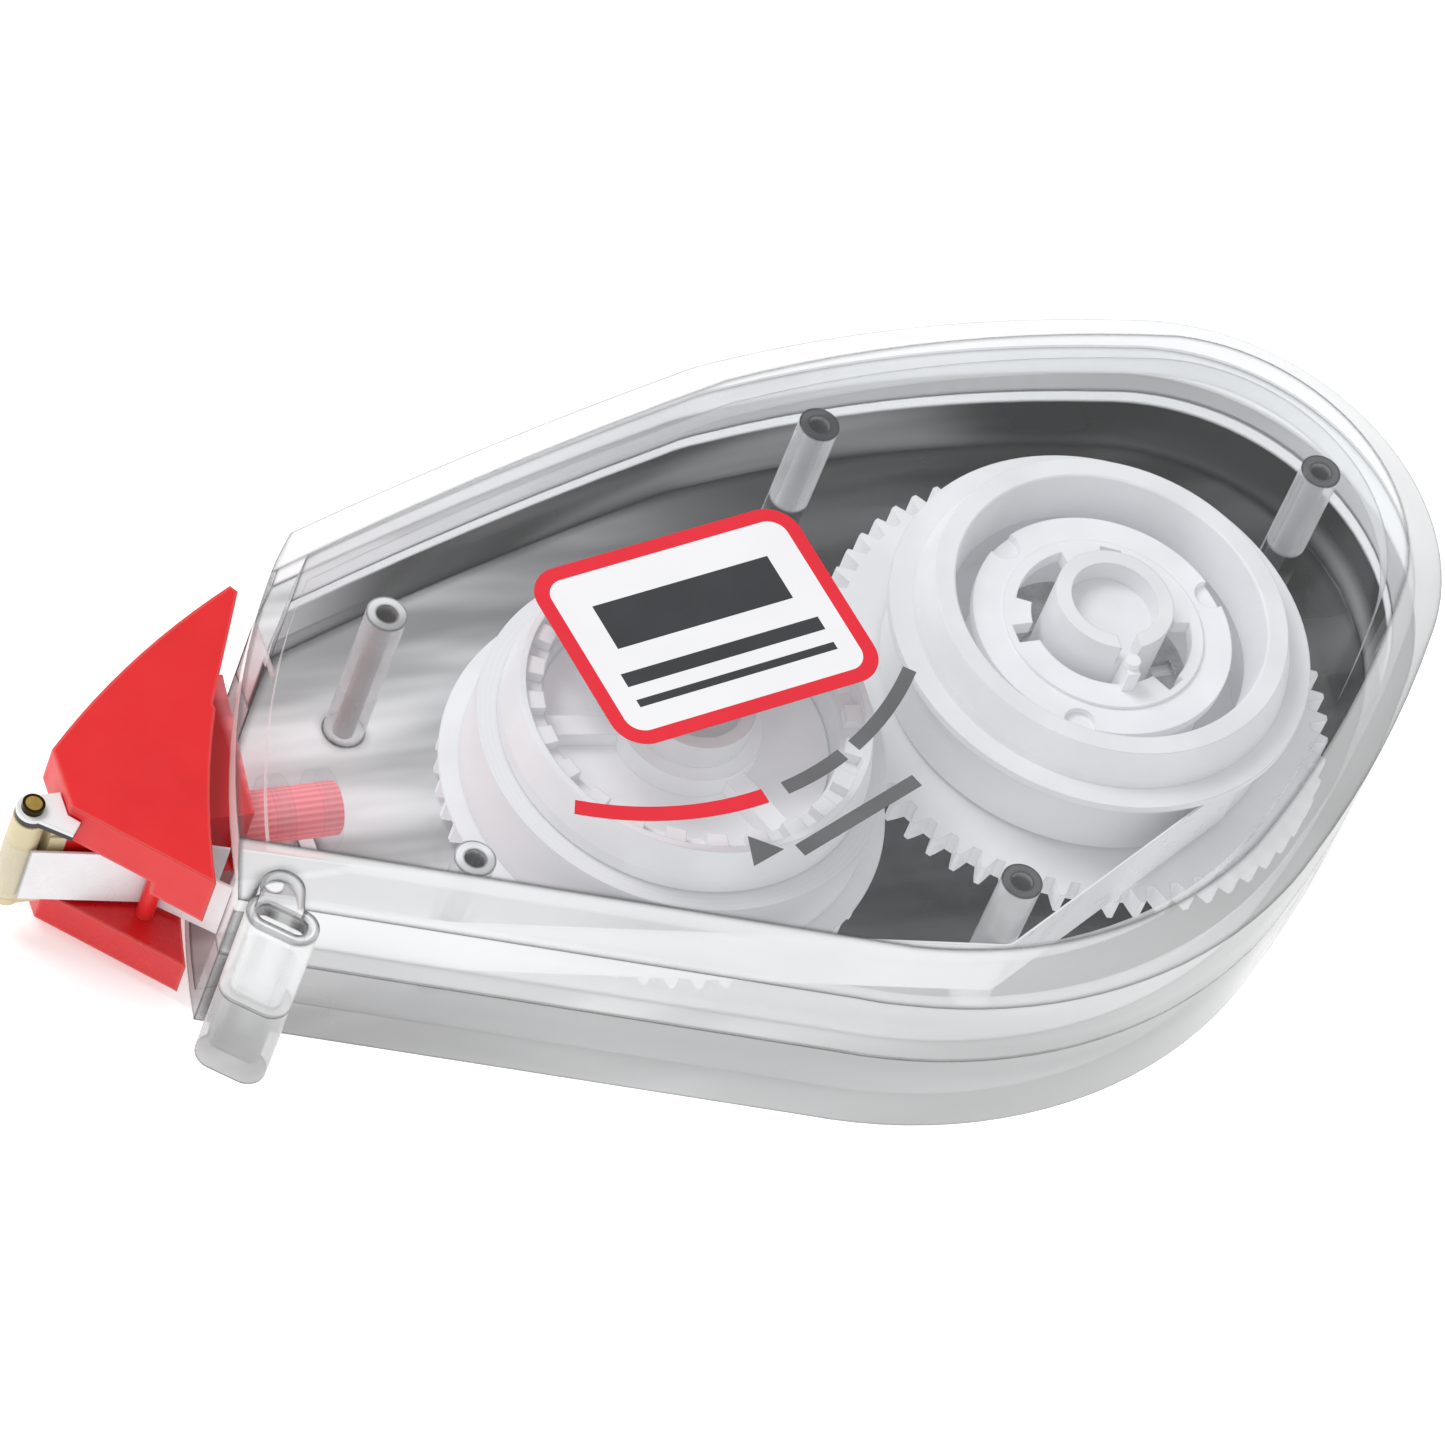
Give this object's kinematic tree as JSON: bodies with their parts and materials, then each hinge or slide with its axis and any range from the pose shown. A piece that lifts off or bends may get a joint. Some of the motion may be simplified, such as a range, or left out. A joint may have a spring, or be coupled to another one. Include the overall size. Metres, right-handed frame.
{
  "type": "correction tape roller",
  "caption": "Hand-held correction tape roller: clear teardrop casing, geared supply and take-up reels, tape path, and a red flexing head with a tip roller.",
  "frame": {"origin": "centre of the bounding box on the flat back face", "axes": "+X from the tape head to the round tail, +Z out of the printed front face along the reels' axes, +Y across the casing"},
  "size_m": [0.0865, 0.0453, 0.0131],
  "materials": {
    "clear_back": "clear, glossy",
    "clear_front": "clear, glossy",
    "reel_white": "satin white",
    "disc_white": "satin white",
    "spring_steel": "plain",
    "tape_white": "smooth",
    "liner_grey": "smooth, slightly translucent",
    "head_red": "satin red",
    "tip_cream": "smooth cream",
    "arm_white": "satin white",
    "pin_brass": "polished",
    "print_red": "printed",
    "print_white": "printed",
    "print_grey": "printed"
  },
  "bodies": {
    "casing": {"back_shell": "clear_back", "front_shell": "clear_front", "supply_strand": "tape_white", "return_strand": "liner_grey", "badge_border": "print_red", "badge_face": "print_white", "badge_bars": "print_grey", "print_arc_red": "print_red", "print_arc_grey": "print_grey", "direction_arrow": "print_grey"},
    "supply_reel": {"supply_gear": "reel_white", "supply_core": "reel_white", "supply_clutch_disc": "disc_white", "supply_clutch_spring": "spring_steel", "supply_tape_roll": "tape_white"},
    "take_up_reel": {"take_up_gear": "reel_white", "take_up_core": "reel_white", "take_up_spider": "disc_white", "take_up_liner_roll": "liner_grey"},
    "head": {"head_upper_cheek": "head_red", "head_lower_cheek": "head_red", "head_shank": "head_red", "centring_tongue": "head_red", "head_guide_pin": "tip_cream", "tip_frame": "tip_cream", "tip_arm": "arm_white", "tip_pin": "pin_brass", "head_supply_strand": "tape_white", "head_return_strand": "liner_grey"},
    "tip": {"tip_roller": "tip_cream"}
  },
  "joints": [
    {"name": "supply_spin", "type": "hinge", "parent": "casing", "child": "supply_reel", "pos_m": [0.0223, 0.0028, 0.005], "axis": [0, 0, 1], "continuous": true},
    {"name": "take_up_spin", "type": "hinge", "parent": "casing", "child": "take_up_reel", "pos_m": [-0.00401, -0.00038, 0.005], "axis": [0, 0, 1], "continuous": true},
    {"name": "head_flex", "type": "hinge", "parent": "casing", "child": "head", "pos_m": [-0.03, -0.00005, 0.0045], "axis": [1, 0, 0], "range_deg": [-10, 10], "stiffness_Nm_per_rad": 0.01},
    {"name": "tip_roller_spin", "type": "hinge", "parent": "head", "child": "tip", "pos_m": [-0.0422, -0.0013, 0.006], "axis": [0, 0, 1], "continuous": true}
  ],
  "couplings": [
    {"joint": "take_up_spin", "follows": "supply_spin", "ratio": -1.2},
    {"joint": "tip_roller_spin", "follows": "supply_spin", "ratio": 12.7}
  ]
}
